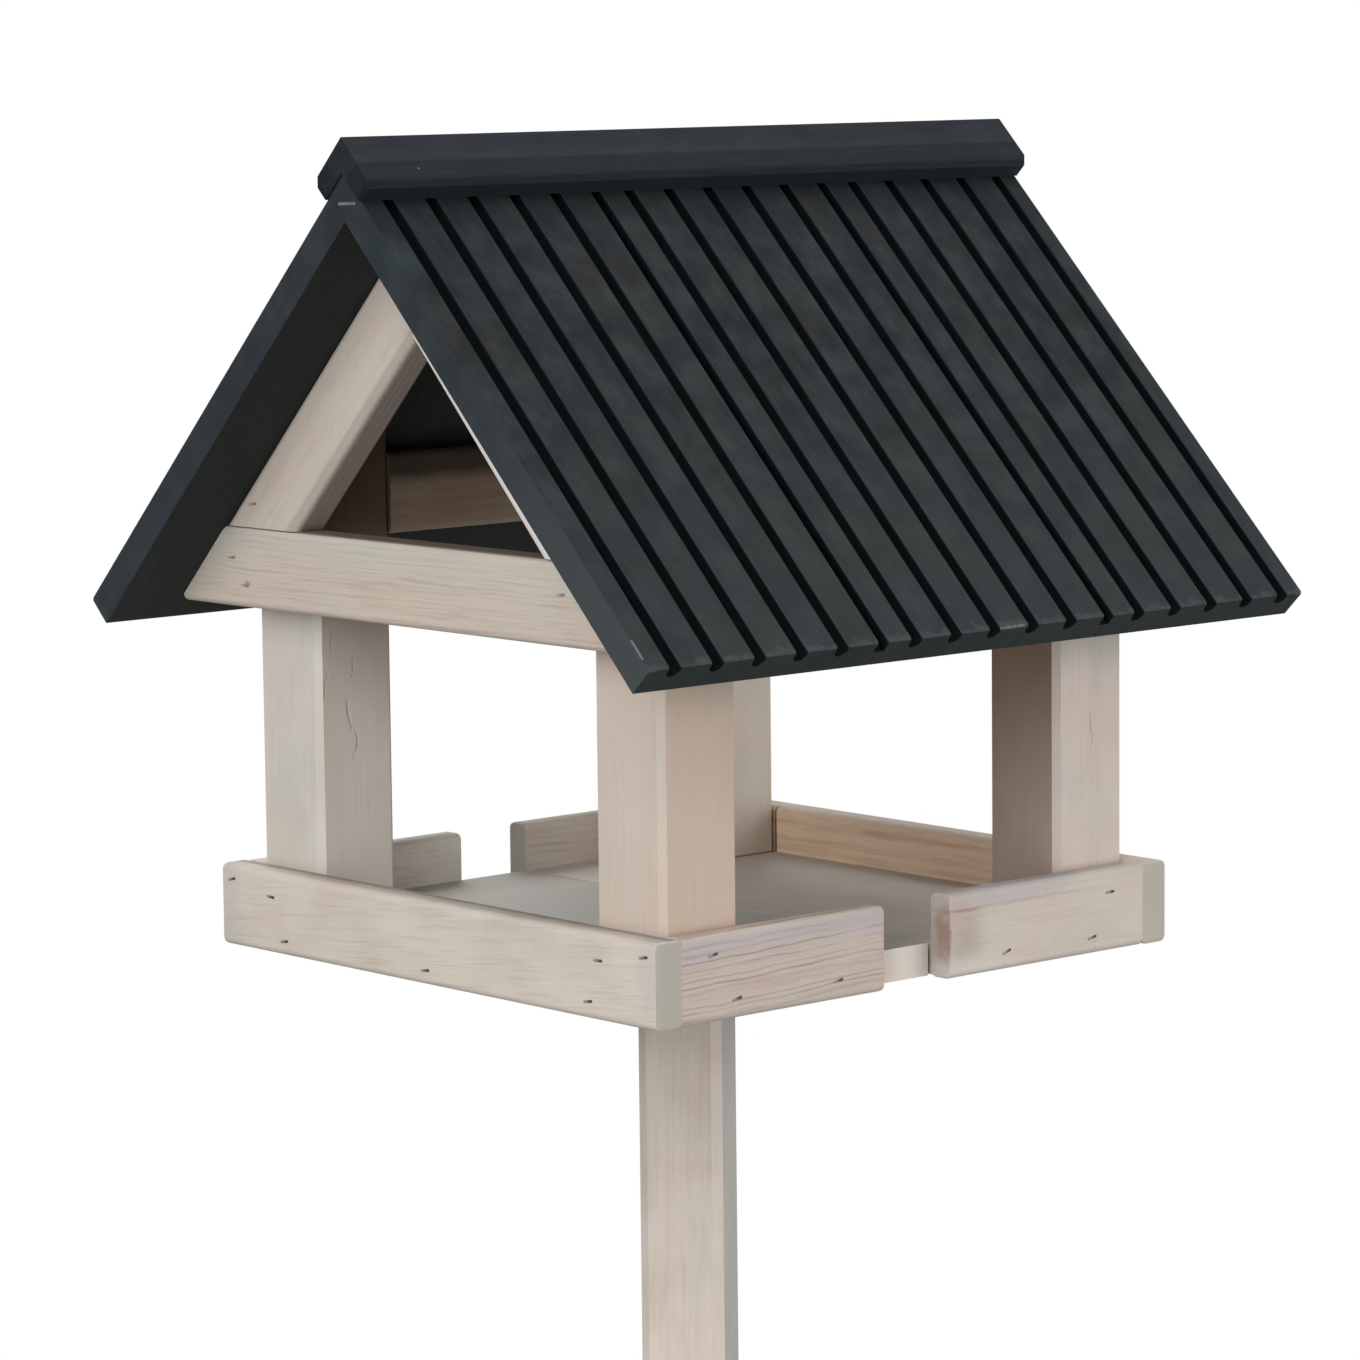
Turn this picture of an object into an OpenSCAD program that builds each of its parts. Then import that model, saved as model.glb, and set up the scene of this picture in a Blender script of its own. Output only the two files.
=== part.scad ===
// Bird table: a roofed feeding tray with four corner posts, on a pole with a cross foot.
// The ridge runs along X, the eaves face -Y (front) and +Y (back), and the ground is z = 0.

/* [Tray] */
// Length of the floor, between the two gable boards
core_l = 288; // [240:1:360]
// Depth of the floor, between the front and back boards
core_w = 286; // [240:1:320]
// Thickness of the two floor boards
floor_t = 15; // [12:1:20]
// Drainage gap between the two floor boards
floor_gap = 3; // [2:0.5:6]
// Distance of that gap from the middle of the floor, towards the right gable
floor_gap_x = 17; // [12:1:30]
// Height of the boards round the tray
rim_h = 39; // [30:1:50]
// Depth of these boards below the underside of the floor
rim_drop = 0.8; // [0:0.1:3]
// Thickness of the front and back boards
side_t = 12; // [10:1:18]
// Thickness of the boards across the gables
gable_t = 15; // [12:1:20]
// Width of the sweeping gap in the front and in the back rim
notch_w = 41; // [25:1:60]
// Distance of the sweeping gaps from the middle of the tray, towards the left gable
notch_off = 3; // [0:1:10]
// Rounding along the planed boards of the rim and of the frame
edge_r = 3.5; // [1:0.5:4.5]
// Rounding of the corners of a board's ends, as seen on its face
end_r = 1.5; // [0.5:0.5:4]

/* [Frame] */
// Side of the square corner posts
post_s = 45; // [36:1:55]
// Chamfer along the posts
post_c = 3; // [2:0.5:5]
// Height of the posts at their outer face, above the floor boards
post_h = 184; // [150:1:240]
// Thickness of the ties and rafters
frame_t = 18; // [12:1:22]
// Width of the ties and rafters
tie_w = 38; // [30:1:45]
// Height of the underside of the ties, above the floor boards
tie_h = 146.5; // [115:0.5:150]
// Height of the plumb cut that blunts the lower tips of the ties
tie_blunt = 3; // [2:1:10]
// Size of the cut that blunts the upper corners of the ties
tie_nick = 3; // [1:0.5:6]
// Extra slope of the front rafters, which are nailed on a little steep
rafter_lean = 0.8; // [0:0.1:1.5]
// Thickness of the eave beams
beam_t = 15; // [12:1:20]
// Height of the eave beams
beam_h = 38; // [25:1:45]

/* [Roof] */
// Slope of the roof
pitch = 45.5; // [40:0.5:50]
// Thickness of the roof boards
roof_t = 15; // [13:0.5:20]
// Length of the roof boards on their upper face, ridge to eave
slope_l = 284; // [265:1:320]
// Reach of the roof past the outer face of each gable board
gable_over = 43; // [25:1:60]
// Distance of the roof's middle from the middle of the tray, towards the right gable
roof_off = 3; // [0:1:10]
// Width sawn off the outermost board at the left gable
trim_left = 5; // [0:1:10]
// Width sawn off the outermost board at the right gable
trim_right = 11; // [0:1:14]
// Number of grooves in a full board
groove_n = 5; // [3:1:5]
// Width of a groove
groove_w = 7; // [5:0.5:8]
// Depth of a groove, with its round bottom
groove_d = 6; // [4:0.5:8]
// Distance between grooves
groove_pitch = 24; // [20:0.5:25]
// Middle of the first groove, from the left edge of the board
groove_first = 20; // [16:0.5:22]
// Width of the rebate along both edges of a board
rebate_w = 3.2; // [1:0.1:4]
// Bevel along the eave
eave_c = 1; // [0.5:0.5:4]
// Joint left between neighbouring roof boards
board_joint = 0.6; // [0.4:0.1:2]

/* [Ridge cap] */
// Thickness of the cap boards
cap_t = 11; // [9:0.5:16]
// Width of a cap board on its upper face, from the ridge
cap_w = 28; // [22:1:50]
// Bevel on the lower edge of a cap board
cap_c = 3.5; // [2:0.5:5]
// Reach of the cap past each end of the roof
cap_over = 1.5; // [0:0.5:10]

/* [Stand] */
// Height of the underside of the tray above the ground
tray_z = 950; // [700:10:1200]
// Distance of the pole from the middle of the tray, towards the left gable
pole_off = 4; // [0:1:10]
// Side of the square pole and of the two feet
pole_s = 40; // [34:1:60]
// Chamfer along the pole
pole_c = 4.5; // [2:0.5:6]
// Turn of the stand under the tray
stand_turn = 36; // [0:1:90]
// Length of a foot
foot_l = 520; // [420:10:700]
// Chamfer along the feet
foot_c = 3; // [2:0.5:5]
// Bevel sawn off the upper end of each foot
foot_bevel = 14; // [4:1:18]
// Reach of a brace along the foot and up the pole
brace_reach = 165; // [120:5:190]
// Width of a brace
brace_w = 38; // [28:1:45]
// Thickness of a brace
brace_t = 15; // [12:1:24]

/* [Hidden] */
$fn = 48;

// Half sizes of the square that the posts and the floor share
half_l = core_l / 2;
half_w = core_w / 2;
floor_top = tray_z + floor_t;
// Height where the undersides of the two roof slopes would meet
under_apex = floor_top + post_h + half_w * tan(pitch);
tie_bottom = floor_top + tie_h;
tie_top = tie_bottom + tie_w;
// Width of a brace measured along the foot
brace_run = brace_w * sqrt(2);
// Top of the eave beams, whose rounded outer edge bears under the roof boards
beam_top = under_apex - (half_w - post_s + beam_t - edge_r) * tan(pitch) - edge_r / cos(pitch) + edge_r;
// Roof along the ridge
roof_half = half_l + gable_t + gable_over;
board_w = (2 * roof_half + trim_left + trim_right) / 3;
roof_start = roof_off - roof_half;
board_start = roof_start - trim_left;
// Place of the upper face of a slope in the slope's own frame, at the plumb cut
cut_run = tan(pitch);
cap_top = roof_t + cap_t;
// A little more than any cut needs
past = 1;

// Distance from the ridge line, at a height, of a plane that slopes down from the underside's apex
function under_y(z, slope = pitch) = (under_apex - z) / tan(slope);

// One end of a tie in the Y-Z plane, from its underside to its top
tie_end = [
    [under_y(tie_bottom) - tie_blunt, tie_bottom],
    [under_y(tie_bottom) - tie_blunt, tie_bottom + tie_blunt * tan(pitch)],
    [under_y(tie_top - tie_nick), tie_top - tie_nick],
    [under_y(tie_top - tie_nick) - tie_nick, tie_top]
];

// A rectangle with its four corners cut off
module chamfered(w, h, c)
    polygon([[c, 0], [w - c, 0], [w, c], [w, h - c], [w - c, h], [c, h], [0, h - c], [0, c]]);

// A rectangle with rounded corners
module rounded(w, h, r) {
    translate([r, 0]) square([w - 2 * r, h]);
    translate([0, r]) square([w, h - 2 * r]);
    for (x = [r, w - r], y = [r, h - r]) translate([x, y]) circle(r);
}

// A planed board along X, rounded along its long edges and at the corners of its face
module board_x(l, t, h)
    intersection() {
        rotate([90, 0, 90]) linear_extrude(l) rounded(t, h, edge_r);
        translate([0, t, 0]) rotate([90, 0, 0]) linear_extrude(t) rounded(l, h, end_r);
    }

// A timber along Z with chamfered edges, centred on its axis
module timber(s, l, c)
    translate([-s / 2, -s / 2, 0]) linear_extrude(l) chamfered(s, s, c);

// Frame of the front slope: origin on the underside apex, -Y down the slope, +Z outward
module on_slope(slope = pitch)
    translate([0, 0, under_apex]) rotate([slope, 0, 0]) children();

// A profile in the Y-Z plane, extruded along X from x0 over l
module along_x(x0, l)
    translate([x0, 0, 0]) rotate([90, 0, 90]) linear_extrude(l) children();

// Places a piece of the head, drawn at its front left about the tray's middle, over the
// stand; sx = -1 mirrors it to the right side and sy = -1 to the back
module at_side(sx, sy)
    translate([pole_off, 0, 0])
    mirror([sx < 0 ? 1 : 0, 0, 0]) mirror([0, sy < 0 ? 1 : 0, 0]) children();

// ---- Tray ----

module floor_board(x0, x1)
    color("#a39c92")
    at_side(1, 1)
    translate([x0, -half_w, tray_z]) cube([x1 - x0, core_w, floor_t]);

// The board across one end of the tray; it covers the ends of the side boards
module gable_board(side)
    color("#c5bcb0")
    at_side(side, 1)
    translate([-half_l, -half_w - side_t, tray_z - rim_drop]) rotate([0, 0, 90])
    board_x(core_w + 2 * side_t, gable_t, rim_h);

// Half of the front or back rim, from the gable board to the gap
module side_board(side, face)
    color("#b8ada1")
    at_side(side, face)
    translate([-half_l, -half_w - side_t, tray_z - rim_drop])
    board_x((core_l - notch_w) / 2 - side * notch_off, side_t, rim_h);

// ---- Frame ----

// A corner post, its top sawn to lie under the roof boards
module post(side, face)
    color("#c3b8ab")
    at_side(side, face)
    intersection() {
        translate([-half_l + post_s / 2, -half_w + post_s / 2, floor_top])
            timber(post_s, under_apex - floor_top, post_c);
        along_x(-half_l - past, post_s + 2 * past)
            polygon([
                [-half_w, floor_top], [-half_w + post_s, floor_top],
                [-half_w + post_s, under_apex - (half_w - post_s) * tan(pitch)],
                [-half_w, under_apex - half_w * tan(pitch)]
            ]);
    }

// A board between the posts; its rounded outer top edge bears under the roof boards
module eave_beam(face)
    color("#a99b8c")
    at_side(1, face)
    translate([-half_l + post_s, -half_w + post_s - beam_t, beam_top - beam_h])
    board_x(core_l - 2 * post_s, beam_t, beam_h);

// The horizontal board of a gable's A-frame, its ends sawn to the roof's slope
module tie(side)
    color("#bdb4a8")
    at_side(side, 1)
    intersection() {
        translate([-half_l, -under_y(tie_bottom), tie_bottom]) rotate([90, 0, 180])
            linear_extrude(2 * under_y(tie_bottom)) rounded(frame_t, tie_w, edge_r);
        along_x(-half_l - frame_t - past, frame_t + 2 * past)
            polygon(concat(
                [for (p = tie_end) [-p.x, p.y]],
                [for (i = [len(tie_end) - 1 : -1 : 0]) tie_end[i]]
            ));
    }

// A sloping board of the A-frame, between the tie and the plumb joint under the ridge
module rafter(side, face) {
    slope = pitch + (face > 0 ? rafter_lean : 0);
    // Width of the board measured straight up
    upright_w = tie_w / cos(slope);
    color("#b6aea7")
    at_side(side, face)
    intersection() {
        on_slope(slope) translate([-half_l - frame_t, tie_w, -tie_w]) rotate([90, 0, 0])
            linear_extrude(slope_l + tie_w) rounded(frame_t, tie_w, edge_r);
        along_x(-half_l - frame_t - past, frame_t + 2 * past)
            polygon([
                [0, under_apex], [-under_y(tie_top, slope), tie_top],
                [-under_y(tie_top + upright_w, slope), tie_top], [0, under_apex - upright_w]
            ]);
    }
}

// ---- Roof ----

// Cross section of a full grooved board, its left edge on x = 0 and its underside on y = 0
module board_section()
    difference() {
        translate([board_joint / 2, 0]) square([board_w - board_joint, roof_t]);
        for (i = [0 : groove_n - 1])
            translate([groove_first + i * groove_pitch, roof_t]) groove();
        for (x = [0, board_w])
            translate([x, roof_t]) square([2 * rebate_w, 2 * groove_d], center = true);
    }

// Cross section of a groove, its mouth on y = 0
module groove() {
    translate([0, groove_w / 2 - groove_d]) circle(d = groove_w);
    translate([-groove_w / 2, groove_w / 2 - groove_d])
        square([groove_w, groove_d - groove_w / 2 + past]);
}

// Side view of a roof board: plumb cut at the ridge, square cut with a bevel at the eave
module slope_outline() {
    eave_y = roof_t * cut_run - slope_l;
    polygon([
        [0, 0], [eave_y, 0], [eave_y, roof_t - eave_c],
        [eave_y + eave_c, roof_t], [roof_t * cut_run, roof_t]
    ]);
}

// One board of a slope; the outermost ones are sawn off flush with the roof's ends
module roof_board(index, face)
    color("#3a3e42")
    at_side(1, face)
    on_slope()
    intersection() {
        translate([board_start + index * board_w, roof_t * cut_run + past, 0])
            rotate([90, 0, 0]) linear_extrude(slope_l + 2 * past) board_section();
        along_x(roof_start, 2 * roof_half) slope_outline();
    }

// One board of the ridge cap, mitred to the other above the ridge
module ridge_cap(face)
    color("#36393d")
    at_side(1, face)
    on_slope()
    along_x(roof_start - cap_over, 2 * (roof_half + cap_over))
    polygon([
        [roof_t * cut_run, roof_t], [cap_top * cut_run - cap_w, roof_t],
        [cap_top * cut_run - cap_w, cap_top - cap_c],
        [cap_top * cut_run - cap_w + cap_c, cap_top], [cap_top * cut_run, cap_top]
    ]);

// ---- Stand ----

module pole()
    color("#c2b8ae")
    rotate([0, 0, stand_turn])
    translate([0, 0, pole_s]) timber(pole_s, tray_z - pole_s, pole_c);

// A foot with bevelled ends, half its height cut away where the other crosses it
module foot(turn, lap_z)
    color("#bdb2a6")
    rotate([0, 0, stand_turn + turn])
    difference() {
        intersection() {
            translate([-foot_l / 2, 0, pole_s / 2]) rotate([0, 90, 0]) timber(pole_s, foot_l, foot_c);
            translate([0, pole_s / 2, 0]) rotate([90, 0, 0]) linear_extrude(pole_s) foot_outline();
        }
        translate([-pole_s / 2, -pole_s / 2 - past, lap_z])
            cube([pole_s, pole_s + 2 * past, pole_s / 2 + past]);
    }

// Side view of a foot
module foot_outline()
    polygon([
        [-foot_l / 2, 0], [foot_l / 2, 0], [foot_l / 2, pole_s - foot_bevel],
        [foot_l / 2 - foot_bevel, pole_s], [foot_bevel - foot_l / 2, pole_s],
        [-foot_l / 2, pole_s - foot_bevel]
    ]);

// A brace at 45 degrees between the pole's face and the top of a foot
module brace(turn)
    color("#bbb0a4")
    rotate([0, 0, stand_turn + turn])
    translate([pole_s / 2, brace_t / 2, pole_s]) rotate([90, 0, 0])
    linear_extrude(brace_t)
    polygon([
        [0, brace_reach], [brace_reach, 0], [brace_reach - brace_run, 0], [0, brace_reach - brace_run]
    ]);

floor_board(-half_l, floor_gap_x - floor_gap / 2);  // floor_board_left
floor_board(floor_gap_x + floor_gap / 2, half_l);  // floor_board_right
gable_board(1);  // gable_board_left
gable_board(-1);  // gable_board_right
side_board(1, 1);  // front_board_left
side_board(-1, 1);  // front_board_right
side_board(1, -1);  // back_board_left
side_board(-1, -1);  // back_board_right
post(1, 1);  // post_front_left
post(-1, 1);  // post_front_right
post(1, -1);  // post_back_left
post(-1, -1);  // post_back_right
eave_beam(1);  // eave_beam_front
eave_beam(-1);  // eave_beam_back
tie(1);  // tie_left
tie(-1);  // tie_right
rafter(1, 1);  // rafter_front_left
rafter(1, -1);  // rafter_back_left
rafter(-1, 1);  // rafter_front_right
rafter(-1, -1);  // rafter_back_right
roof_board(0, 1);  // roof_front_left
roof_board(1, 1);  // roof_front_middle
roof_board(2, 1);  // roof_front_right
roof_board(0, -1);  // roof_back_left
roof_board(1, -1);  // roof_back_middle
roof_board(2, -1);  // roof_back_right
ridge_cap(1);  // ridge_cap_front
ridge_cap(-1);  // ridge_cap_back
pole();
foot(0, pole_s / 2);  // foot_lower
foot(90, -past);  // foot_upper
brace(0);  // brace_1
brace(90);  // brace_2
brace(180);  // brace_3
brace(270);  // brace_4
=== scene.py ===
import math
import bpy
from mathutils import Matrix, Vector


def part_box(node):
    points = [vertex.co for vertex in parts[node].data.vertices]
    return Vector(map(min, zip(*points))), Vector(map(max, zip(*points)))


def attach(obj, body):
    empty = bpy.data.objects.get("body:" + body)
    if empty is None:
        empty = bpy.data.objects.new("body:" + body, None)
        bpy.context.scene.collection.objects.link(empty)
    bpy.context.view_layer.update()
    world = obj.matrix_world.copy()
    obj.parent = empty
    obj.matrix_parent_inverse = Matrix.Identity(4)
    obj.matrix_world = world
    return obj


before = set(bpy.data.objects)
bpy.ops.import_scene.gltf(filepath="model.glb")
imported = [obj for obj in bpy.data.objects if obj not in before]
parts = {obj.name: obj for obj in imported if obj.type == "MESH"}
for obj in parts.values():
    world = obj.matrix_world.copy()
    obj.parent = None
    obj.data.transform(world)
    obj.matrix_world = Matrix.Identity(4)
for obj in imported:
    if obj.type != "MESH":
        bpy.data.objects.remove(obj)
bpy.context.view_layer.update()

# ---- Pole ----
# A 40 mm square pole of planed pine with broken corners, brushed with a thin whitish glaze
# that leaves the grain showing faintly. It stands a little turned under the tray.
X, Y, Z = Vector((1, 0, 0)), Vector((0, 1, 0)), Vector((0, 0, 1))


def put(tree, kind, feeds, **settings):
    """Adds a shader node; feeds gives each input a value or another node's output."""
    made = tree.nodes.new("ShaderNode" + kind)
    for key, value in settings.items():
        setattr(made, key, value)
    for socket, value in feeds.items():
        if isinstance(value, bpy.types.NodeSocket):
            tree.links.new(value, made.inputs[socket])
        else:
            made.inputs[socket].default_value = value
    return made


def calc(tree, operation, *values):
    """Arithmetic on numbers or outputs; a ! after the operation keeps the result from 0 to 1."""
    clamp = operation.endswith("!")
    made = put(tree, "Math", dict(enumerate(values)), operation=operation.rstrip("!"), use_clamp=clamp)
    return made.outputs[0]


def ramp(tree, value, low, high, to_low=0.0, to_high=1.0):
    """Carries a value from one range to another with soft ends."""
    feeds = {"Value": value, "From Min": low, "From Max": high, "To Min": to_low, "To Max": to_high}
    return put(tree, "MapRange", feeds, interpolation_type="SMOOTHSTEP").outputs[0]


def swayed(tree, value, pattern, amount):
    """A value moved up and down by a pattern from 0 to 1, by half the amount each way."""
    return calc(tree, "MULTIPLY_ADD", calc(tree, "SUBTRACT", pattern, 0.5), amount, value)


def here(tree):
    """The place on a piece, in metres in the feeder's frame."""
    return put(tree, "TexCoord", {}).outputs["Object"]


def axes_of(tree, place):
    """A place's x, y and z."""
    return put(tree, "SeparateXYZ", {0: place}).outputs


def toward(tree, first, second, share):
    """Carries a first colour towards a second, inputs 6 and 7, by a share from 0 to 1."""
    return put(tree, "Mix", {0: share, 6: first, 7: second}, data_type="RGBA").outputs[2]


def paint(red, green, blue):
    """A colour given as 0 to 255 on a screen, turned to the linear value that shaders use."""
    shares = [channel / 255 for channel in (red, green, blue)]
    linear = [c / 12.92 if c <= 0.04045 else ((c + 0.055) / 1.055) ** 2.4 for c in shares]
    return (*linear, 1.0)


def noise(tree, vector, scale, detail, rough=0.5, result=0):
    """Soft noise from 0 to 1, its scale in waves to the metre."""
    feeds = {"Vector": vector, "Scale": scale, "Detail": detail, "Roughness": rough}
    return put(tree, "TexNoise", feeds, noise_dimensions="3D").outputs[result]


def stretched(tree, vector, amount, shift):
    """A board's own place with its length drawn out, so that a pattern runs with the grain."""
    feeds = {"Vector": vector, "Location": (shift, shift * 0.7, shift * 1.3), "Scale": (amount, 1, 1)}
    return put(tree, "Mapping", feeds).outputs[0]


def board_place(tree, start, along, face):
    """A place measured from a start in the board: x with the grain, z out of its face."""
    turn = Matrix((along, face.cross(along), face)).transposed().to_euler("XYZ")
    feeds = {"Vector": here(tree), "Location": start, "Rotation": turn}
    return put(tree, "Mapping", feeds, vector_type="TEXTURE").outputs[0]


def facing(tree, direction):
    """How squarely the surface faces a direction, from -1 to 1."""
    normal = put(tree, "NewGeometry", {}).outputs["Normal"]
    made = put(tree, "VectorMath", {0: normal, 1: direction}, operation="DOT_PRODUCT")
    return made.outputs["Value"]


def shaken(tree, vector, wave, reach):
    """Moves a place about by a coloured noise, by half its reach each way."""
    feeds = {0: wave, 1: (0.5, 0.5, 0.5)}
    centred = put(tree, "VectorMath", feeds, operation="SUBTRACT").outputs[0]
    feeds = {0: centred, 1: (reach, reach, reach), 2: vector}
    return put(tree, "VectorMath", feeds, operation="MULTIPLY_ADD").outputs[0]


class Grain:
    """The wood of one sawn board: year rings round the tree's pith, torn fibres and clouds.

    The pith is given by how far it lies across the board and out of its face from the start,
    ring is the width of a year ring, slant is how far the grain runs off the board's length,
    and wave is how far the year lines ripple.
    """

    def __init__(self, tree, start, along, face, pith, ring, slant, seed, wave=0.003):
        across = face.cross(along)
        self.place = board_place(tree, start, along, face)
        grown = board_place(tree, start, (along + across * slant).normalized(), face)
        shift = seed * 0.37

        # the distance from the pith in years, which grow unevenly and sway along the board
        sway = noise(tree, stretched(tree, grown, 0.14, shift), 22, 2, result=1)
        ripple = noise(tree, stretched(tree, grown, 0.30, shift + 5), 95, 2, 0.5, result=1)
        moved = shaken(tree, shaken(tree, grown, sway, 0.010), ripple, wave)
        axes = axes_of(tree, moved)
        side = calc(tree, "SUBTRACT", axes[1], pith[0])
        depth = calc(tree, "SUBTRACT", axes[2], pith[1])
        flat = put(tree, "CombineXYZ", {0: 0.0, 1: side, 2: depth}).outputs[0]
        radius = put(tree, "VectorMath", {0: flat}, operation="LENGTH").outputs["Value"]
        age = calc(tree, "DIVIDE", radius, ring)
        feeds = {"W": age, "Scale": 0.6, "Detail": 1.0}
        uneven = put(tree, "TexNoise", feeds, noise_dimensions="1D").outputs[0]
        age = calc(tree, "MULTIPLY_ADD", uneven, 1.2, age)

        # late wood darkens towards the end of each year, more in some years, and wears off
        feeds = {"W": calc(tree, "ADD", calc(tree, "FLOOR", age), seed)}
        strength = put(tree, "TexWhiteNoise", feeds, noise_dimensions="1D").outputs["Value"]
        season = calc(tree, "FRACT", age)
        dark = calc(tree, "POWER", ramp(tree, season, 0.20, 0.78), 1.4)
        dark = calc(tree, "MULTIPLY", dark, ramp(tree, season, 0.80, 1.0, 1.0, 0.0))
        wear = noise(tree, stretched(tree, grown, 0.35, shift + 6), 75, 2)
        worn = ramp(tree, wear, 0.34, 0.60, 0.35, 1.0)
        self.late = calc(tree, "MULTIPLY", dark, calc(tree, "MULTIPLY_ADD", strength, 0.5, 0.5))
        self.late = calc(tree, "MULTIPLY", self.late, worn)

        # torn fibres, streaks along the grain, and clouds in the coat of glaze or stain
        tears = noise(tree, stretched(tree, moved, 0.05, shift + 8), 560, 2, 0.5)
        self.torn = ramp(tree, tears, 0.50, 0.70)
        self.fibre = noise(tree, stretched(tree, grown, 0.04, shift), 700, 2, 0.6)
        self.streak = noise(tree, stretched(tree, grown, 0.06, shift + 2), 190, 4, 0.6)
        self.blotch = noise(tree, stretched(tree, grown, 0.6, shift + 3), 34, 4, 0.6)
        cloud = noise(tree, stretched(tree, grown, 0.6, shift + 4), 40, 3)
        self.red_cloud = ramp(tree, cloud, 0.42, 0.72)
        cloud = noise(tree, stretched(tree, grown, 0.6, shift + 7), 34, 3)
        self.cool_cloud = ramp(tree, cloud, 0.42, 0.72)

        # the sawn ends, and the broken edges that face none of the board's own directions
        end = calc(tree, "ABSOLUTE", facing(tree, along))
        squarest = calc(tree, "MAXIMUM", end, calc(tree, "ABSOLUTE", facing(tree, across)))
        squarest = calc(tree, "MAXIMUM", squarest, calc(tree, "ABSOLUTE", facing(tree, face)))
        self.end = ramp(tree, end, 0.80, 0.95)
        self.torn = calc(tree, "MULTIPLY", self.torn, calc(tree, "SUBTRACT", 1.0, self.end))
        self.arris = ramp(tree, squarest, 0.90, 0.995, 1.0, 0.0)


def new_material(name):
    """An empty material and its node tree."""
    made = bpy.data.materials.new(name)
    made.use_nodes = True
    made.node_tree.nodes.clear()
    return made, made.node_tree


def surface_of(tree, base, rough, height, strength, depth, shine):
    """Joins colour, roughness and relief in one surface."""
    feeds = {"Height": height, "Strength": strength, "Distance": depth}
    relief = put(tree, "Bump", feeds).outputs[0]
    feeds = {"Base Color": base, "Roughness": rough, "Normal": relief, "Specular IOR Level": shine}
    surface = put(tree, "BsdfPrincipled", feeds)
    tree.links.new(surface.outputs[0], put(tree, "OutputMaterial", {}).inputs["Surface"])


pine_early = paint(186, 163, 140)
pine_late = paint(134, 104, 82)
glaze = paint(204, 196, 188)
glaze_pink = paint(198, 176, 168)
glaze_green = paint(184, 186, 177)
torn_brown = paint(146, 124, 106)
end_grey = paint(173, 168, 158)
arris_pale = paint(206, 200, 192)


def glazed_pine(part, along, face, pith, ring=0.0042, slant=0.02, seed=1.0, lines=0.35, torn=0.22,
                wave=0.003, tone=glaze, cover=0.80, thin_side=None, thinned=0.45, relief=0.0005,
                wood=pine_early, extras=()):
    """Planed pine under a thin whitish glaze, each board with its own grain, tone and marks.

    lines and torn are how much the year lines and torn fibres show, cover is how much of the
    wood the glaze hides, and thin_side is a side where it hides less.
    """
    low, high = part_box(part)
    material, tree = new_material("glazed_pine_" + part)
    grain = Grain(tree, (Vector(low) + Vector(high)) / 2, along, face, pith, ring, slant, seed, wave)
    late = calc(tree, "MULTIPLY", grain.late, lines)
    bare = toward(tree, wood, pine_late, late)
    bare = toward(tree, bare, pine_late, ramp(tree, grain.streak, 0.45, 0.80, 0.0, 0.20))
    coat = toward(tree, tone, glaze_pink, calc(tree, "MULTIPLY", grain.red_cloud, 0.38))
    coat = toward(tree, coat, glaze_green, calc(tree, "MULTIPLY", grain.cool_cloud, 0.38))
    cover = swayed(tree, swayed(tree, cover, grain.blotch, 0.35), grain.streak, 0.15)
    if thin_side:
        side = ramp(tree, facing(tree, thin_side), 0.20, 0.65)
        cover = calc(tree, "MULTIPLY_ADD", side, -thinned, cover)
    cover = calc(tree, "MULTIPLY_ADD!", late, -0.55, cover)
    base = toward(tree, bare, coat, cover)
    base = toward(tree, base, torn_brown, calc(tree, "MULTIPLY", grain.torn, torn))
    base = toward(tree, base, end_grey, calc(tree, "MULTIPLY", grain.end, 0.85))
    base = toward(tree, base, arris_pale, calc(tree, "MULTIPLY", grain.arris, 0.12))
    height = calc(tree, "MULTIPLY_ADD", late, 0.9, calc(tree, "MULTIPLY", grain.fibre, 0.30))
    height = calc(tree, "MULTIPLY_ADD", grain.streak, 0.45, height)
    height = calc(tree, "MULTIPLY_ADD", grain.torn, -torn, height)
    for add in extras:
        base, height = add(tree, grain, base, height)
    rough = ramp(tree, grain.fibre, 0.2, 0.8, 0.66, 0.90)
    surface_of(tree, base, rough, height, strength=0.6, depth=relief, shine=0.22)
    parts[part].material_slots[0].material = material


def tint(colour, share, direction, axis=None, start=0.0, end=0.0, ragged=0.0, square=0.95):
    """Another colour on the faces towards a direction; given an axis, it comes in along that."""

    def add(tree, grain, base, height):
        inside = ramp(tree, facing(tree, direction), square - 0.25, square, 0.0, share)
        if axis is not None:
            place = here(tree)
            level = swayed(tree, axes_of(tree, place)[axis], noise(tree, place, 60, 3, 0.6), ragged)
            inside = calc(tree, "MULTIPLY", inside, ramp(tree, level, start, end))
        return toward(tree, base, colour, inside), height
    return add


# the pole's face turned from the key lamp is painted greyer and darker: painted shade
pole_painted_shade = paint(168, 172, 172)
stand_turn = math.radians(36)
foot_along = Vector((math.cos(stand_turn), math.sin(stand_turn), 0))
foot_across = Vector((-math.sin(stand_turn), math.cos(stand_turn), 0))
glazed_pine("pole", Z, foot_along, (0.034, -0.030), ring=0.0036, slant=0.010, seed=3, lines=0.15,
            torn=0.10, tone=paint(218, 207, 196), cover=0.88,
            extras=(tint(pole_painted_shade, 0.60, -foot_across),))

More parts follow.
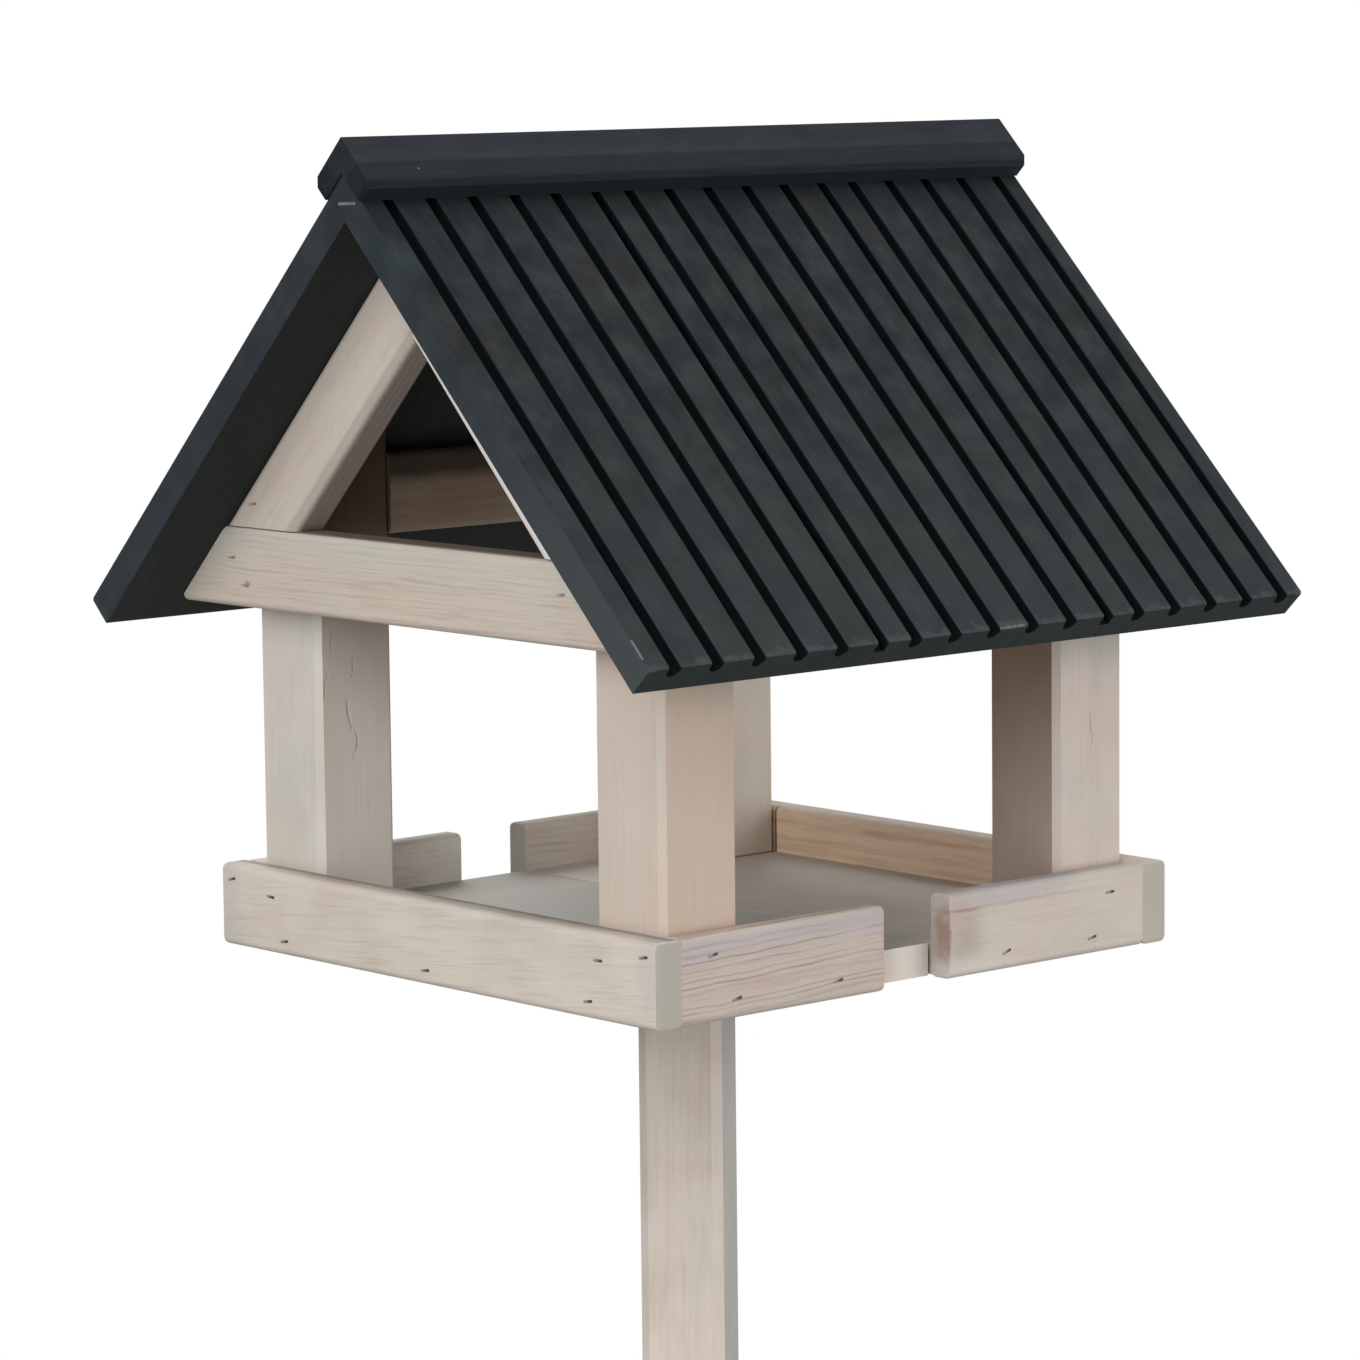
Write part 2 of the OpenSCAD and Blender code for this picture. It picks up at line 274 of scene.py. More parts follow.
# ---- Cross foot ----
# Two feet of the same square timber, halved into each other, with bevelled ends, and four
# braces sawn at 45 degrees that stiffen the pole.
glazed_pine("foot_lower", foot_along, Z, (0.010, -0.045), ring=0.0040, seed=11, lines=0.4)
glazed_pine("foot_upper", foot_across, Z, (-0.012, -0.050), ring=0.0044, seed=12, lines=0.4)
for number, outward in enumerate((foot_along, foot_across, -foot_along, -foot_across), start=1):
    down_brace = (outward - Z).normalized()
    brace_side = down_brace.cross((outward + Z).normalized())
    glazed_pine(f"brace_{number}", down_brace, brace_side, (0.008, -0.030), ring=0.0038,
                seed=20 + number)

# ---- Tray floor ----
# Two pine floor boards laid from front to back with a drainage gap between them; the seed
# and the weather have greyed them.
sawn_pale = paint(232, 220, 210)
floor_edge = tint(sawn_pale, 0.85, -Y)
glazed_pine("floor_board_left", Y, Z, (0.02, -0.06), ring=0.0060, slant=0.03, seed=31, lines=0.06,
            torn=0.05, tone=paint(186, 186, 182), cover=0.86, extras=(floor_edge,))
glazed_pine("floor_board_right", Y, Z, (-0.01, -0.07), ring=0.0060, slant=0.03, seed=32, lines=0.06,
            torn=0.05, tone=paint(204, 196, 186), cover=0.90, extras=(floor_edge,))

# ---- Tray rim ----
# Planed boards 39 mm high stand round the floor: one across each gable, covering the ends of
# two short boards at the front and two at the back that leave a gap to sweep seed through.
lilac_grey = paint(178, 173, 176)
knot_red = paint(142, 110, 98)
knot_rose = paint(172, 148, 138)
knot_smudge = paint(164, 154, 142)
rose_line = paint(150, 122, 112)
whitish = paint(208, 205, 200)
rim_top_brown = paint(112, 100, 84)
stain_smear = paint(132, 138, 128)
end_green = paint(170, 164, 148)
corner_shade = paint(46, 26, 16)
bare_pine = paint(255, 216, 176)
rim_left, rim_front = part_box("gable_board_left")[0][:2]
rim_right, rim_back, rim_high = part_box("gable_board_right")[1]
board_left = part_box("front_board_right")[0][0]
inner_corner = Vector((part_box("gable_board_right")[0][0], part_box("post_back_right")[0][1],
                       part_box("floor_board_right")[1][2]))


def mark(colour, share, centre, reach, ragged=0.008, softness=0.5, seed=0.0, dent=0.0):
    """A soft patch of another colour round a place, its reach given along x, y and z."""

    def add(tree, grain, base, height):
        feeds = {"Vector": here(tree), "Location": (seed, seed * 0.3, seed * 0.7)}
        wave = noise(tree, put(tree, "Mapping", feeds).outputs[0], 110, 3, 0.6, result=1)
        moved = shaken(tree, here(tree), wave, ragged)
        offset = put(tree, "VectorMath", {0: moved, 1: centre}, operation="SUBTRACT").outputs[0]
        feeds = {0: offset, 1: (1 / reach[0], 1 / reach[1], 1 / reach[2])}
        scaled = put(tree, "VectorMath", feeds, operation="MULTIPLY").outputs[0]
        far = put(tree, "VectorMath", {0: scaled}, operation="LENGTH").outputs["Value"]
        inside = ramp(tree, far, 1.0 - softness, 1.0 + softness, 1.0, 0.0)
        if dent:
            height = calc(tree, "MULTIPLY_ADD", inside, -dent, height)
        return toward(tree, base, colour, calc(tree, "MULTIPLY", inside, share)), height
    return add


def on_front(along, down, back=0.0):
    """A place on the right-hand front board, from its sawn end near the gap and from its top."""
    return Vector((board_left + along, rim_front + back, rim_high - down))


def on_gable(along, down, back=0.0):
    """A place on the left gable board, from its front end and from its top."""
    return Vector((rim_left + back, rim_front + along, rim_high - down))


# a knot cut through at the sawn end, smudges round it, and a lilac-grey weathered top edge
knot_marks = (
    mark(rose_line, 0.30, on_front(0.045, 0.0078), (0.050, 0.02, 0.0008), ragged=0.003, softness=0.6),
    mark(lilac_grey, 0.60, on_front(0.040, 0.0), (0.044, 0.03, 0.008), softness=0.4, seed=7.0),
    mark(knot_rose, 0.45, on_front(0.006, 0.017), (0.012, 0.02, 0.014), ragged=0.012),
    mark(knot_smudge, 0.35, on_front(0.014, 0.023), (0.008, 0.02, 0.009), ragged=0.010, softness=0.6,
         seed=3.0),
    mark(knot_red, 0.45, on_front(0.010, 0.0085), (0.010, 0.02, 0.0007), ragged=0.002, softness=0.6,
         dent=0.8),
    mark(knot_red, 0.70, on_front(0.0, 0.019, 0.003), (0.0012, 0.006, 0.012), ragged=0.006, seed=5.0),
    mark(whitish, 0.45, on_front(0.012, 0.037), (0.030, 0.02, 0.006), ragged=0.006, seed=9.0))
# the left gable board's top is darker brown inward of its outer edge
rim_top = tint(rim_top_brown, 0.65, Z, 0, rim_left + 0.005, rim_left + 0.0105, ragged=0.003)
rim_end = tint(end_green, 0.50, -Y, 0, rim_left + 0.001, rim_left + 0.005, ragged=0.004)
glazed_pine("gable_board_left", Y, -X, (0.090, -0.030), ring=0.0034, slant=0.10, seed=41, lines=0.08,
            torn=0.15, wave=0.002, tone=paint(210, 202, 191), cover=0.88, relief=0.0007,
            extras=(rim_top, rim_end,
                    mark(stain_smear, 0.35, on_gable(-0.004, 0.011, 0.003), (0.008, 0.003, 0.0014),
                         ragged=0.003, softness=0.6),
                    mark(lilac_grey, 0.35, on_gable(0.309, 0.012), (0.02, 0.012, 0.03), ragged=0.012),
                    mark(lilac_grey, 0.30, on_gable(0.005, 0.010), (0.02, 0.006, 0.02))))
glazed_pine("gable_board_right", Y, X, (0.060, -0.020), ring=0.0060, slant=0.0, seed=42, lines=0.45,
            cover=0.90, thin_side=-X, thinned=0.46, relief=0.0007, wood=bare_pine,
            extras=(mark(corner_shade, 0.8, inner_corner, (0.004, 0.0008, 0.030), ragged=0.0002,
                         softness=0.3),))
glazed_pine("front_board_left", X, -Y, (0.070, -0.020), ring=0.0034, slant=0.01, seed=43, lines=0.70,
            torn=0.15, wave=0.004, tone=paint(197, 183, 174), cover=0.86, relief=0.0012,
            extras=(tint(lilac_grey, 0.6, -Y, 2, rim_high - 0.016, rim_high - 0.006, ragged=0.016),))
glazed_pine("front_board_right", X, -Y, (0.080, -0.040), ring=0.0060, slant=0.01, seed=44, lines=0.12,
            torn=0.10, tone=paint(206, 197, 186), cover=0.88, extras=knot_marks)
glazed_pine("back_board_left", X, Y, (0.060, -0.030), ring=0.0042, slant=0.02, seed=45, lines=0.20,
            tone=paint(218, 212, 205), cover=0.92)
glazed_pine("back_board_right", X, Y, (0.060, -0.026), ring=0.0044, slant=0.02, seed=46, lines=0.5,
            tone=paint(196, 188, 179), cover=0.78)

# ---- Corner posts ----
# Four 45 mm square posts with broken corners stand on the floor and carry the roof boards on
# their sloping tops. Their inner faces are painted browner, partly barer wood and partly painted
# shade, darkest under the roof, with a painted contact shadow at the foot.
inner_brown_and_shade = paint(126, 99, 75)
attic_shade_brown = paint(80, 60, 44)
warm_pine_and_shade = paint(192, 158, 130)
cool_glaze = paint(186, 188, 184)
crack_and_shadow_dark = paint(96, 84, 72)
crack_lip_highlight = paint(206, 200, 188)
floor_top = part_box("floor_board_left")[1][2]
attic_start, attic_full = 0.135, 0.195


def bare_and_shaded_inside(part, lowest, highest, least, most):
    """Barer wood and painted shade on a post's inner faces, browner between two heights over the floor.
    """
    low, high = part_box(part)
    inward_x = -X if low[0] > 0 else X
    inward_y = -Y if low[1] > 0 else Y

    def add(tree, grain, base, height):
        inside = ramp(tree, facing(tree, inward_x + inward_y), 0.75, 0.95)
        level = calc(tree, "SUBTRACT", axes_of(tree, here(tree))[2], floor_top)
        brown_and_shade = calc(tree, "MULTIPLY", inside, ramp(tree, level, lowest, highest, least, most))
        base = toward(tree, base, inner_brown_and_shade, brown_and_shade)
        # painted shade high up under the roof
        attic_shade = calc(tree, "MULTIPLY", inside, ramp(tree, level, attic_start, attic_full, 0.0, 0.9))
        base = toward(tree, base, attic_shade_brown, attic_shade)
        # a painted contact shadow where the post stands on the floor
        foot_shadow = calc(tree, "MULTIPLY", inside, ramp(tree, level, 0.0005, 0.0014, 0.7, 0.0))
        return toward(tree, base, crack_and_shadow_dark, foot_shadow), height
    return add


def crack(part, side, bottom, top, width, lean=0.0):
    """A drying crack up a post's front between two heights over the floor, with a painted highlight on
    one lip.

    side is how far it lies from the post's left side, and lean how far its top goes right.
    """
    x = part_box(part)[0][0] + side
    middle, half = floor_top + (top + bottom) / 2, (top - bottom) / 2

    def add(tree, grain, base, height):
        axes = axes_of(tree, here(tree))
        feeds = {"W": axes[2], "Scale": 70.0, "Detail": 3.0}
        bend = put(tree, "TexNoise", feeds, noise_dimensions="1D").outputs[0]
        reach = calc(tree, "DIVIDE", calc(tree, "SUBTRACT", axes[2], middle), half)
        across = calc(tree, "SUBTRACT", swayed(tree, axes[0], bend, 0.007), x)
        across = calc(tree, "MULTIPLY_ADD", reach, -lean, across)
        gape = calc(tree, "SUBTRACT!", 1.0, calc(tree, "POWER", calc(tree, "ABSOLUTE", reach), 2.0))
        gape = calc(tree, "MULTIPLY_ADD", gape, width / 2, 0.00001)
        front = ramp(tree, facing(tree, -Y), 0.9, 0.98)
        near = calc(tree, "DIVIDE", calc(tree, "ABSOLUTE", across), gape)
        open_part = calc(tree, "MULTIPLY", front, ramp(tree, near, 0.3, 1.0, 1.0, 0.0))
        beside = calc(tree, "ABSOLUTE", calc(tree, "SUBTRACT", across, width))
        beside = calc(tree, "DIVIDE", beside, gape)
        lip_highlight = calc(tree, "MULTIPLY", front, ramp(tree, beside, 0.3, 1.2, 0.45, 0.0))
        base = toward(tree, base, crack_lip_highlight, lip_highlight)
        base = toward(tree, base, crack_and_shadow_dark, calc(tree, "MULTIPLY", open_part, 0.50))
        return base, calc(tree, "MULTIPLY_ADD", open_part, -1.0, height)
    return add


# the post's front face is tinted warmer and darker: partly warmer wood, partly painted shade
glazed_pine("post_front_left", Z, -Y, (0.070, -0.050), ring=0.0036, slant=0.004, seed=51, lines=0.10,
            torn=0.06, tone=paint(201, 188, 177), cover=0.88,
            extras=(tint(warm_pine_and_shade, 0.30, -Y), bare_and_shaded_inside("post_front_left", 0.035, 0.205, 0.05, 0.8)))
glazed_pine("post_front_right", Z, -Y, (-0.070, -0.040), ring=0.0036, slant=0.004, seed=52, lines=0.10,
            torn=0.06, tone=paint(212, 200, 191), cover=0.88,
            extras=(bare_and_shaded_inside("post_front_right", 0.005, 0.175, 0.50, 0.95),
                    tint(cool_glaze, 0.4, -Y, 2, floor_top + 0.095, floor_top + 0.155, ragged=0.03),
                    crack("post_front_right", 0.0225, 0.078, 0.098, 0.0007)))
glazed_pine("post_back_left", Z, -Y, (0.060, 0.060), ring=0.0036, slant=0.004, seed=53, lines=0.08,
            torn=0.06, tone=paint(204, 200, 193), cover=0.88,
            extras=(bare_and_shaded_inside("post_back_left", 0.065, 0.205, 0.10, 0.80),
                    crack("post_back_left", 0.0175, 0.087, 0.104, 0.0012, lean=-0.002),
                    crack("post_back_left", 0.0210, 0.074, 0.089, 0.0010),
                    crack("post_back_left", 0.0200, 0.111, 0.123, 0.0008, lean=0.001),
                    crack("post_back_left", 0.0040, 0.101, 0.117, 0.0009, lean=0.001),
                    crack("post_back_left", 0.0080, 0.125, 0.135, 0.0007)))
glazed_pine("post_back_right", Z, -Y, (-0.060, 0.060), ring=0.0036, slant=0.004, seed=54, lines=0.14,
            torn=0.06, tone=paint(210, 199, 187), cover=0.86,
            extras=(bare_and_shaded_inside("post_back_right", 0.075, 0.235, 0.0, 0.6),))

# ---- Eave beams ----
# A board between the posts under each slope, that the roof boards are nailed to. Its inner face
# is nearly bare and brown, partly barer wood and partly painted shade, with a painted shadow
# along its top under the boards and painted shade on its ends.
attic_shadow_dark = paint(38, 32, 26)
beam_brown_and_shade = paint(132, 109, 87)
beam_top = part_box("eave_beam_back")[1][2]
for part, face, seed in (("eave_beam_front", Y, 61), ("eave_beam_back", -Y, 62)):
    painted_roof_shadow = tint(attic_shadow_dark, 0.85, (face + Z).normalized(), 2, beam_top - 0.017, beam_top - 0.009,
                      ragged=0.006, square=0.65)
    glazed_pine(part, X, face, (0.012, -0.030), ring=0.0040, seed=seed, lines=0.18, cover=0.82,
                thin_side=face, thinned=0.66, wood=beam_brown_and_shade,
                extras=(tint(attic_shade_brown, 0.85, -X), tint(attic_shade_brown, 0.85, X), painted_roof_shadow))

# ---- Gable frames ----
# Each gable has an A of three boards with broken edges: a tie across the posts, its ends
# sawn to the slope, and two rafters that meet in a plumb joint under the ridge.
slope = math.radians(45.5)
down_front = Vector((0, -math.cos(slope), -math.sin(slope)))
down_back = Vector((0, math.cos(slope), -math.sin(slope)))
tie_face, tie_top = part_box("tie_left")[0][0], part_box("tie_left")[1][2]
dark_nick = Vector((tie_face, 0.1265, tie_top - 0.0265))
roof_shade_brown = paint(92, 81, 68)
rafter_underside_shade = paint(98, 86, 83)
edge_shade = paint(152, 140, 130)
edge_highlight = paint(238, 236, 232)
edge_from, edge_full = 0.0062, 0.0044
# the ties' top faces are painted dark brown: painted shade under the roof's overhang
glazed_pine("tie_left", Y, -X, (-0.060, -0.020), ring=0.0030, slant=0.01, seed=71, lines=0.35,
            wave=0.002, tone=paint(198, 187, 176), cover=0.84, relief=0.0008,
            extras=(tint(roof_shade_brown, 0.85, Z),
                    tint(glaze_green, 0.45, -X, 2, tie_top - 0.020, tie_top - 0.010, ragged=0.012),
                    mark(crack_and_shadow_dark, 0.5, dark_nick, (0.02, 0.0022, 0.0012), ragged=0.001)))
glazed_pine("tie_right", Y, X, (-0.018, -0.026), ring=0.0036, slant=0.02, seed=72, lines=0.4,
            extras=(tint(roof_shade_brown, 0.85, Z),))


def lower_edge(part, outward, underside, colour):
    """A band on a rafter's face along its broken lower edge: painted highlight at the front, painted
    shade at the back.
    """
    reach = max(corner.co.dot(underside) for corner in parts[part].data.vertices)

    def add(tree, grain, base, height):
        feeds = {0: here(tree), 1: underside}
        level = put(tree, "VectorMath", feeds, operation="DOT_PRODUCT").outputs["Value"]
        near = ramp(tree, level, reach - edge_from, reach - edge_full, 0.0, 0.55)
        near = calc(tree, "MULTIPLY", near, ramp(tree, facing(tree, outward), 0.30, 0.60))
        return toward(tree, base, colour, near), height
    return add


# each rafter's underside is painted darker: painted shade
for part, along, outward, edge_colour, seed in (
        ("rafter_front_left", down_front, -X, edge_highlight, 73),
        ("rafter_back_left", down_back, -X, edge_shade, 74),
        ("rafter_front_right", down_front, X, edge_highlight, 75),
        ("rafter_back_right", down_back, X, edge_shade, 76)):
    underside = along.cross(X) * (1 if along.y > 0 else -1)
    glazed_pine(part, along, outward, (0.024, -0.034), ring=0.0038, slant=0.03, seed=seed, lines=0.2,
                torn=0.12, tone=paint(195, 188, 180),
                extras=(tint(rafter_underside_shade, 0.55, underside),
                        lower_edge(part, outward, underside, edge_colour)))

# ---- Roof boards ----
# Three wide grooved boards on each slope, rebated at their edges so that the joints look like
# one more groove, in a dark grey stain that has clouded a little. The grooves are painted near
# black, partly pooled stain and partly painted shade, and a shadow is painted below the cap.
stain = paint(43, 50, 51)
stain_brown = paint(53, 49, 50)
stain_blue = paint(40, 47, 53)
stain_violet = paint(43, 46, 56)
stain_worn = paint(57, 64, 64)
stain_thin = paint(63, 68, 70)
pooled_stain_and_shade = paint(2, 8, 10)
stain_under = paint(45, 47, 45)
stain_eave = paint(88, 92, 93)
bare_scratch = paint(132, 138, 136)
roof_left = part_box("roof_front_left")[0][0]
roof_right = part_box("roof_front_right")[1][0]
gable_margin = 0.004
groove_depth = 0.006
slope_length = 0.284
cap_edge, cap_shadow = 0.0165, 0.036


def groove_mask(tree, grain):
    """1 inside the grooves and rebates, 0 on the faces, the eave end and the gable ends."""
    depth = axes_of(tree, grain.place)[2]
    inside = ramp(tree, depth, -0.0003, -0.0012, 0.0, 1.0)
    above = ramp(tree, depth, -groove_depth, -groove_depth - 0.0006, 1.0, 0.0)
    inside = calc(tree, "MULTIPLY", inside, above)
    inside = calc(tree, "MULTIPLY", inside, calc(tree, "SUBTRACT", 1.0, grain.end))
    x = axes_of(tree, here(tree))[0]
    inside = calc(tree, "MULTIPLY", inside, calc(tree, "GREATER_THAN", x, roof_left + gable_margin))
    return calc(tree, "MULTIPLY", inside, calc(tree, "LESS_THAN", x, roof_right - gable_margin))


def on_board(tree, grain, base):
    """Grooves dark with pooled stain and painted shade, a painted shadow below the cap, paler and worn
    at the eave.
    """
    down = axes_of(tree, grain.place)[0]
    base = toward(tree, base, stain_worn, ramp(tree, down, 0.10, slope_length, 0.0, 0.50))
    chipped = swayed(tree, down, noise(tree, here(tree), 150, 3, 0.6), 0.016)
    worn = ramp(tree, chipped, slope_length - 0.0045, slope_length - 0.0005, 0.0, 0.35)
    base = toward(tree, base, stain_eave, calc(tree, "SUBTRACT!", worn, grain.end))

    # the edges at the gables are bluer, and thinly stained down the front slope
    gable = ramp(tree, calc(tree, "ABSOLUTE", facing(tree, X)), 0.80, 0.95)
    base = toward(tree, base, stain_blue, calc(tree, "MULTIPLY", gable, 0.5))
    front = ramp(tree, axes_of(tree, here(tree))[1], -0.01, 0.01, 1.0, 0.0)
    thin = calc(tree, "MULTIPLY", front, ramp(tree, down, 0.08, slope_length, 0.0, 0.95))
    base = toward(tree, base, stain_thin, calc(tree, "MULTIPLY", gable, thin))

    # a painted shadow below the cap; the stain lies thicker on the sawn ends, and is browner underneath
    past = calc(tree, "DIVIDE", calc(tree, "SUBTRACT", down, cap_edge), cap_shadow)
    near = calc(tree, "POWER", calc(tree, "SUBTRACT!", 1.0, calc(tree, "MAXIMUM", past, 0.0)), 2.0)
    near = calc(tree, "MULTIPLY", near, calc(tree, "SUBTRACT", 1.0, gable))
    base = toward(tree, base, pooled_stain_and_shade, calc(tree, "MULTIPLY", near, 0.75))
    base = toward(tree, base, pooled_stain_and_shade, calc(tree, "MULTIPLY", grain.end, 0.35))
    under = calc(tree, "SUBTRACT!", ramp(tree, facing(tree, -Z), 0.3, 0.6, 0.0, 0.8), grain.end)
    base = toward(tree, base, stain_under, under)
    # the grooves painted near black: partly pooled stain, partly painted shade
    return toward(tree, base, pooled_stain_and_shade, groove_mask(tree, grain))


def on_cap(tree, grain, base):
    """The cap is worn paler near the ridge, darker and bluer along its lower half, with painted shade
    on its bevel.
    """
    base = toward(tree, base, stain_violet, 0.55)
    across = calc(tree, "ABSOLUTE", axes_of(tree, grain.place)[1])
    base = toward(tree, base, stain_worn, ramp(tree, across, 0.004, 0.014, 0.10, 0.35))

    # from half way down, and again on the bevel of the lower edge, where shade is painted
    base = toward(tree, base, pooled_stain_and_shade, ramp(tree, across, 0.0140, 0.0165, 0.0, 0.38))
    base = toward(tree, base, pooled_stain_and_shade, ramp(tree, across, 0.0250, 0.0262, 0.0, 0.45))
    return toward(tree, base, pooled_stain_and_shade, calc(tree, "MULTIPLY", grain.end, 0.50))


def scratch_mask(tree, start, end, width, grain):
    """1 along a straight scratch between two places, frayed by the fibres."""
    run = end - start
    offset = put(tree, "VectorMath", {0: here(tree), 1: start}, operation="SUBTRACT").outputs[0]
    feeds = {0: offset, 1: run / run.length_squared}
    reach = put(tree, "VectorMath", feeds, operation="DOT_PRODUCT").outputs["Value"]
    share = calc(tree, "MINIMUM", calc(tree, "MAXIMUM", reach, 0.0), 1.0)
    nearest = put(tree, "VectorMath", {0: run, "Scale": share}, operation="SCALE").outputs[0]
    gap = put(tree, "VectorMath", {0: offset, 1: nearest}, operation="DISTANCE").outputs["Value"]
    return ramp(tree, swayed(tree, gap, grain.fibre, width * 2), width * 0.3, width, 0.6, 0.0)


def dark_stain(part, along, face, pith, shade, ring=0.0055, slant=0.02, seed=1.0, marks=()):
    """Softwood under a dark stain, clouded, a little worn on its arrises and scratched where marked."""
    low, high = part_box(part)
    start = Vector(((low[0] + high[0]) / 2, 0, high[2]))
    material, tree = new_material("dark_stain_" + part)
    grain = Grain(tree, start, along, face, pith, ring, slant, seed)
    mottle = noise(tree, here(tree), 48, 3, 0.6)
    base = toward(tree, stain, stain_brown, calc(tree, "MULTIPLY", grain.red_cloud, 0.7))
    base = toward(tree, base, stain_blue, calc(tree, "MULTIPLY", grain.cool_cloud, 0.7))
    base = toward(tree, base, stain_worn, ramp(tree, mottle, 0.45, 0.70, 0.0, 0.75))
    base = toward(tree, base, pooled_stain_and_shade, ramp(tree, mottle, 0.30, 0.50, 0.30, 0.0))
    base = toward(tree, base, pooled_stain_and_shade, calc(tree, "MULTIPLY", grain.late, 0.04))
    base = toward(tree, base, stain_worn, calc(tree, "MULTIPLY", grain.arris, 0.25))
    base = shade(tree, grain, base)
    for scratch_start, scratch_end, width in marks:
        mask = scratch_mask(tree, scratch_start, scratch_end, width, grain)
        base = toward(tree, base, bare_scratch, mask)
    rough = ramp(tree, grain.fibre, 0.2, 0.8, 0.68, 0.92)
    height = calc(tree, "MULTIPLY_ADD", grain.late, 0.3, calc(tree, "MULTIPLY", grain.fibre, 0.25))
    height = calc(tree, "MULTIPLY_ADD", mottle, 0.5, height)
    height = calc(tree, "MULTIPLY", height, calc(tree, "MULTIPLY_ADD", grain.end, -0.7, 1.0))
    surface_of(tree, base, rough, height, strength=0.6, depth=0.0004, shine=0.10)
    parts[part].material_slots[0].material = material


front_face = Vector((0, -math.sin(slope), math.cos(slope)))
back_face = Vector((0, math.sin(slope), math.cos(slope)))
roof_top = Vector((0, 0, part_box("roof_front_left")[1][2]))
middle_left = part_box("roof_front_middle")[0][0]


def on_slope(x, down):
    """A place on the front slope's face, at x along the ridge and some way down from it."""
    return roof_top + X * x + down_front * down


scratches = {
    "left": ((on_slope(roof_left + 0.0004, slope_length - 0.016),
              on_slope(roof_left + 0.0004, slope_length - 0.007), 0.0008),),
    "middle": ((on_slope(middle_left + 0.0702, slope_length - 0.0003),
                on_slope(middle_left + 0.0857, slope_length - 0.0003), 0.0011),),
    "right": ()}
for number, place in enumerate(("left", "middle", "right")):
    dark_stain("roof_front_" + place, down_front, front_face, (0.03 * number - 0.02, -0.05), on_board,
               seed=81 + number, marks=scratches[place])
    dark_stain("roof_back_" + place, down_back, back_face, (0.02 - 0.03 * number, -0.06), on_board,
               seed=84 + number)

# ---- Ridge cap ----
# Two narrow boards mitred over the ridge, in the same dark stain, their lower edges bevelled.
# The front one has lost a chip of stain near its left end.
cap_left, cap_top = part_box("ridge_cap_front")[0][0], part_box("ridge_cap_front")[1][2]
chip = Vector((cap_left + 0.0319, 0, cap_top)) + down_front * 0.020
dark_stain("ridge_cap_front", X, front_face, (0.01, -0.03), on_cap, ring=0.0050, slant=0.0, seed=91,
           marks=((chip, chip + X * 0.0005, 0.0006),))
dark_stain("ridge_cap_back", X, back_face, (0.01, -0.03), on_cap, ring=0.0050, slant=0.0, seed=92)

# ---- Staples ----
# Wire staples from an air gun hold the rim to the floor and to the posts, and the A-frames to
# the posts. They are sunk flush, have gone dark, and some lie half under the glaze.
tray_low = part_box("floor_board_left")[0][2]
frame_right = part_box("tie_right")[1][0]
staple_l, staple_w, staple_h = 0.0060, 0.0015, 0.0009
staple_sunk = staple_h * 0.28

bpy.ops.object.select_all(action='DESELECT')
bpy.ops.mesh.primitive_cube_add(size=1, location=(0, 0, 0), scale=(staple_l, staple_w, staple_h))
pattern_staple = bpy.context.object
bpy.ops.object.transform_apply(location=True, rotation=True, scale=True)
bpy.ops.object.mode_set(mode='EDIT')
bpy.ops.mesh.bevel(offset=0.0004, segments=2, affect='EDGES')
bpy.ops.object.mode_set(mode='OBJECT')
bpy.ops.object.shade_smooth()

# how far along the crown each corner lies, from 0 to 1
along_wire = pattern_staple.data.attributes.new("along", 'FLOAT', 'POINT')
for point, corner in zip(along_wire.data, pattern_staple.data.vertices):
    point.value = corner.co.x / staple_l + 0.5


def staple_steel(name, pale, dark):
    """Dull wire, darker towards one end, where shade is painted for the hole its leg sinks into."""
    material, tree = new_material(name)
    spots = noise(tree, here(tree), 900, 3, 0.6)
    along = put(tree, "Attribute", {}, attribute_name="along").outputs["Fac"]
    base = toward(tree, pale, dark, ramp(tree, swayed(tree, along, spots, 0.6), 0.25, 0.75))
    rough = ramp(tree, spots, 0.3, 0.7, 0.55, 0.80)
    surface_of(tree, base, rough, spots, strength=0.3, depth=0.0002, shine=0.3)
    return material


dark_wire = staple_steel("staple_steel_dark", paint(150, 137, 124), paint(66, 57, 50))
glazed_wire = staple_steel("staple_steel_glazed", paint(176, 156, 140), paint(140, 112, 98))
bright_wire = staple_steel("staple_steel_bright", paint(112, 115, 118), paint(92, 95, 98))


def staple_at(place, crown, outward, longer):
    """A copy of the staple at a place, its crown along one direction and its back outward."""
    copy = pattern_staple.copy()
    copy.data = pattern_staple.data.copy()
    turn = Matrix((crown, outward.cross(crown), outward)).transposed().to_4x4()
    sunk = place - outward * staple_sunk
    copy.data.transform(Matrix.Translation(sunk) @ turn @ Matrix.Diagonal((longer, 1, 1, 1)))
    bpy.context.scene.collection.objects.link(copy)
    return copy


def row_of_staples(name, finish, side, outward, places, longer=1.0):
    """Joins the staples in one face of the feeder, which looks outward and lies at side."""
    level = Z.cross(outward)
    across = Y if outward.x else X
    bpy.ops.object.select_all(action='DESELECT')
    for along, height, tilt in places:
        place = outward * abs(side) + across * (along / 1000) + Z * (tray_low + height / 1000)
        crown = level * math.cos(math.radians(tilt)) + Z * math.sin(math.radians(tilt))
        copy = staple_at(place, crown, outward, longer)
        copy.select_set(True)
        bpy.context.view_layer.objects.active = copy
    if len(places) > 1:
        bpy.ops.object.join()
    piece = bpy.context.object
    piece.name = name
    piece.data.name = name
    piece.data.materials.clear()
    piece.data.materials.append(finish)
    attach(piece, "root")


